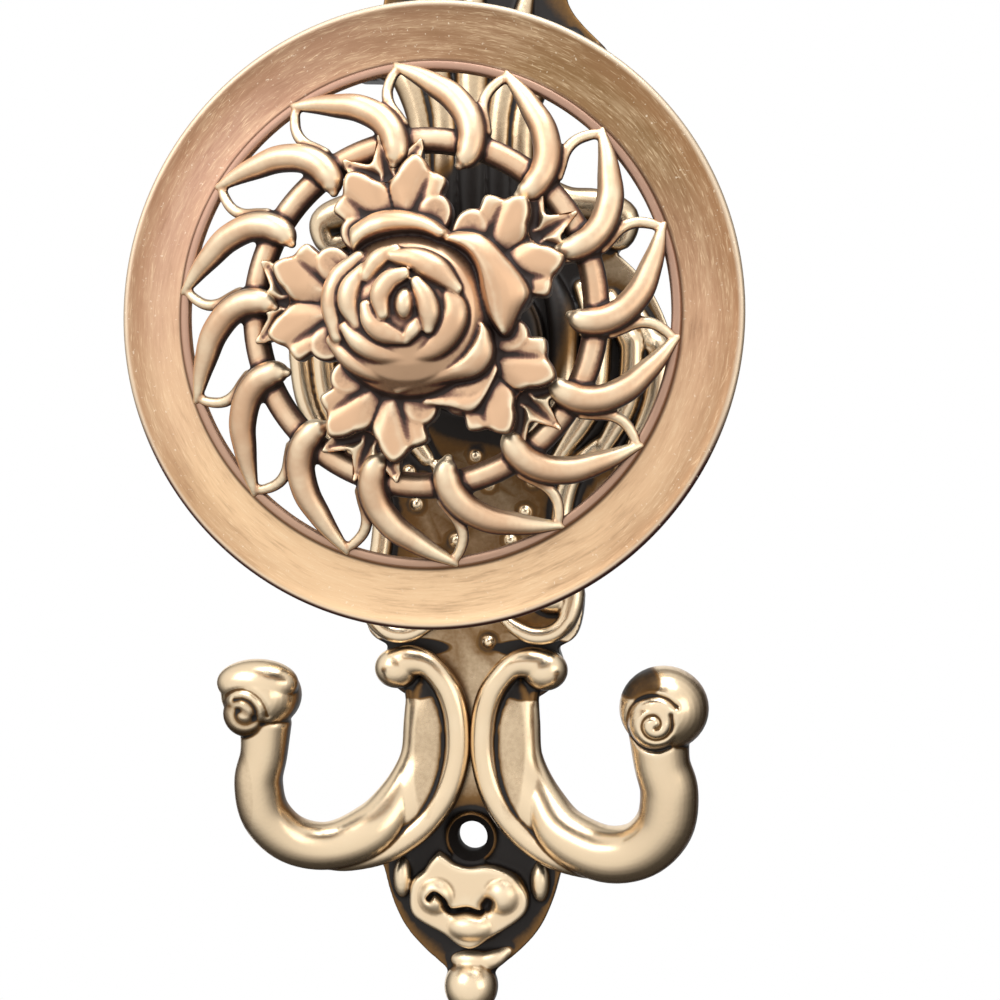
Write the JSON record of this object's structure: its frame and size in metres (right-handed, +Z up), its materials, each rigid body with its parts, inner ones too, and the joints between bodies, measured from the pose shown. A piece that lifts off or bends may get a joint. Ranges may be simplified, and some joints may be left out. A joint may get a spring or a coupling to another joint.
{
  "type": "curtain holdback",
  "caption": "Antique brass wall hook with curled arms under an openwork rose disc on a turned stem, for holding a curtain aside.",
  "frame": {"origin": "on the stem's axis, in the plane of the wall plate's back", "axes": "+X to the viewer's right, +Z up the wall, +Y into the wall, so the rose faces -Y"},
  "size_m": [0.11, 0.0809, 0.2251],
  "materials": {
    "plate_brass": "antique brass, satin with dark recesses",
    "stem_brass": "antique brass, satin",
    "medallion_brass": "antique brass, brushed flange and satin relief"
  },
  "bodies": {
    "root": {"wall_plate": "plate_brass", "stem": "stem_brass", "medallion": "medallion_brass"}
  },
  "joints": []
}
